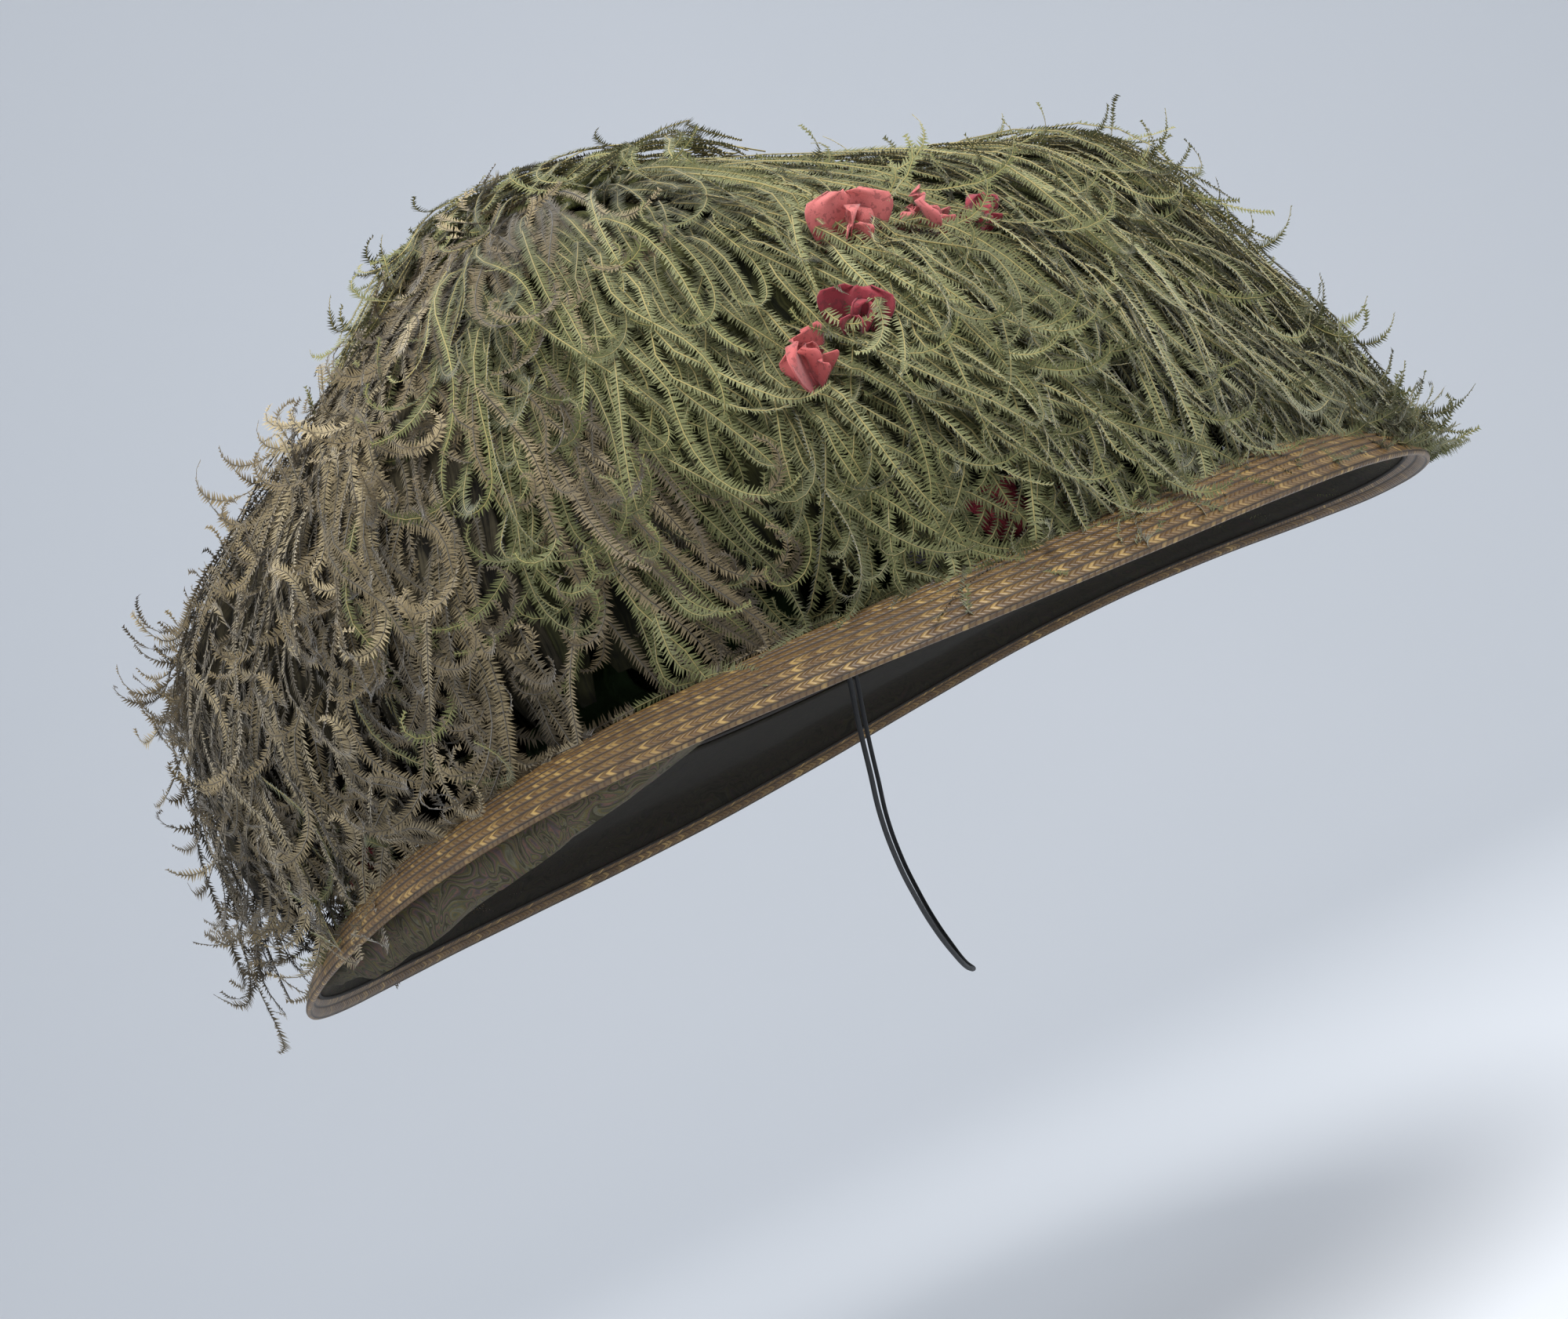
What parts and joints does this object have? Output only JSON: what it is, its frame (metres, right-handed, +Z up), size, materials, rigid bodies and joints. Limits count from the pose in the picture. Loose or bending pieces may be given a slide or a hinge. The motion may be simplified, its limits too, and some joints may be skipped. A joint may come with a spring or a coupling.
{
  "type": "straw hat with ostrich plumes",
  "caption": "Wide straw hat with a turned-down brim, heaped with drooping ostrich plumes and sweet-pea blossoms, with a velvet band and an elastic chin loop.",
  "frame": {"origin": "middle of the head opening, in the plane where the crown meets the brim", "axes": "+X to the front of the hat, +Y to the wearer's left, +Z up through the crown"},
  "size_m": [0.5395, 0.4452, 0.3829],
  "materials": {
    "straw": "sewn rows of glossy straw plait",
    "lining": "woven swirl pattern",
    "velvet": "velvet pile",
    "elastic": "covered cord",
    "plume_green": "curled ostrich feather",
    "plume_sage": "curled ostrich feather",
    "plume_taupe": "curled ostrich feather",
    "blossom_salmon": "stiffened cloth",
    "blossom_crimson": "stiffened cloth",
    "blossom_red": "stiffened cloth",
    "blossom_lilac": "stiffened cloth",
    "blossom_wine": "stiffened cloth"
  },
  "bodies": {
    "root": {"crown": "straw", "brim": "straw", "brim_lining": "lining", "velvet_band": "velvet", "velvet_loop_1": "velvet", "velvet_loop_2": "velvet", "velvet_loop_3": "velvet", "plume_front": "plume_green", "plume_right_front": "plume_green", "plume_right": "plume_sage", "plume_right_back": "plume_taupe", "plume_back": "plume_taupe", "plume_left_back": "plume_taupe", "plume_left": "plume_sage", "plume_left_front": "plume_green", "plume_crest": "plume_green", "blossom_1": "blossom_salmon", "blossom_2": "blossom_salmon", "blossom_3": "blossom_crimson", "blossom_4": "blossom_crimson", "blossom_5": "blossom_salmon", "blossom_6": "blossom_red", "blossom_7": "blossom_lilac", "blossom_8": "blossom_crimson", "blossom_9": "blossom_wine", "chin_elastic": "elastic"}
  },
  "joints": []
}
